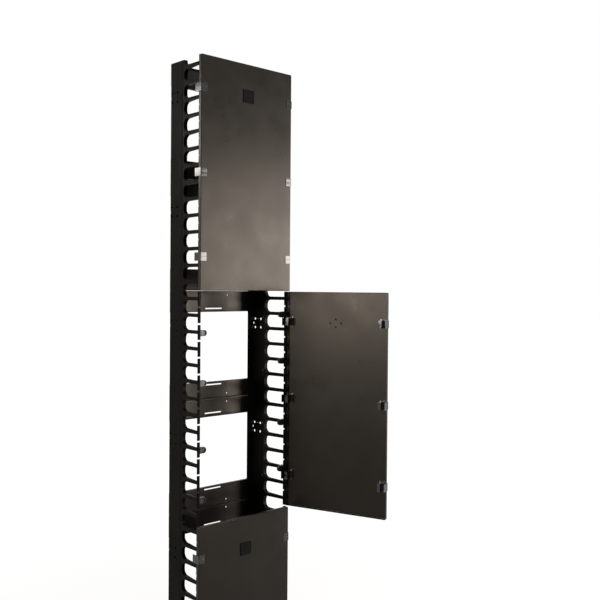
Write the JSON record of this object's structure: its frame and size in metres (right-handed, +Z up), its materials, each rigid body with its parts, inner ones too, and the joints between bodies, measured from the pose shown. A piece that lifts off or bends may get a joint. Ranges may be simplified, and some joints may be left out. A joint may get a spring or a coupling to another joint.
{
  "type": "vertical cable manager",
  "caption": "Tall vertical cable manager for an equipment rack, with finger panels along both sides, rear crossbars and hinged doors held by clips.",
  "frame": {"origin": "centre of the lowest right-hand group of four rack bolt holes, on the outer face of the right-hand side channel", "axes": "+Z up along the manager's height, +Y towards its back, +X to its right seen from the doors; the doors face -Y"},
  "size_m": [0.4266, 0.4453, 1.867],
  "materials": {
    "channel_coat": "satin black powder coat",
    "crossbar_coat": "satin black powder coat",
    "finger_plastic": "fine texture",
    "screw_zinc": "zinc plated",
    "retainer_plastic": "satin",
    "door_coat": "satin black powder coat",
    "clip_plastic": "polished"
  },
  "bodies": {
    "frame": {"side_channel_left": "channel_coat", "side_channel_right": "channel_coat", "crossbar_1": "crossbar_coat", "crossbar_2": "crossbar_coat", "crossbar_3": "crossbar_coat", "crossbar_4": "crossbar_coat", "crossbar_5": "crossbar_coat", "crossbar_6": "crossbar_coat", "crossbar_7": "crossbar_coat", "crossbar_8": "crossbar_coat", "crossbar_9": "crossbar_coat", "crossbar_10": "crossbar_coat", "crossbar_11": "crossbar_coat", "crossbar_12": "crossbar_coat", "finger_panel_left_1": "finger_plastic", "finger_panel_left_2": "finger_plastic", "finger_panel_left_3": "finger_plastic", "finger_panel_left_4": "finger_plastic", "finger_panel_left_5": "finger_plastic", "finger_panel_left_6": "finger_plastic", "finger_panel_right_1": "finger_plastic", "finger_panel_right_2": "finger_plastic", "finger_panel_right_3": "finger_plastic", "finger_panel_right_4": "finger_plastic", "finger_panel_right_5": "finger_plastic", "finger_panel_right_6": "finger_plastic", "panel_screws_left": "screw_zinc", "panel_screws_right": "screw_zinc", "cable_retainers_left": "retainer_plastic", "cable_retainers_right": "retainer_plastic"},
    "door_top": {"door_top": "door_coat", "clips_top_left": "clip_plastic", "clips_top_right": "clip_plastic"},
    "door_middle": {"door_middle": "door_coat", "clips_middle_left": "clip_plastic", "clips_middle_right": "clip_plastic"},
    "door_bottom": {"door_bottom": "door_coat", "clips_bottom_left": "clip_plastic", "clips_bottom_right": "clip_plastic"}
  },
  "joints": [
    {"name": "door_top_hinge", "type": "hinge", "parent": "frame", "child": "door_top", "pos_m": [0.0032, -0.1183, 1.3402], "axis": [0, 0, 1], "range_deg": [0, 115]},
    {"name": "door_middle_hinge", "type": "hinge", "parent": "frame", "child": "door_middle", "pos_m": [0.0032, -0.1183, 0.7179], "axis": [0, 0, 1], "range_deg": [-108, 7]},
    {"name": "door_bottom_hinge", "type": "hinge", "parent": "frame", "child": "door_bottom", "pos_m": [0.0032, -0.1183, 0.0956], "axis": [0, 0, 1], "range_deg": [0, 115]}
  ]
}
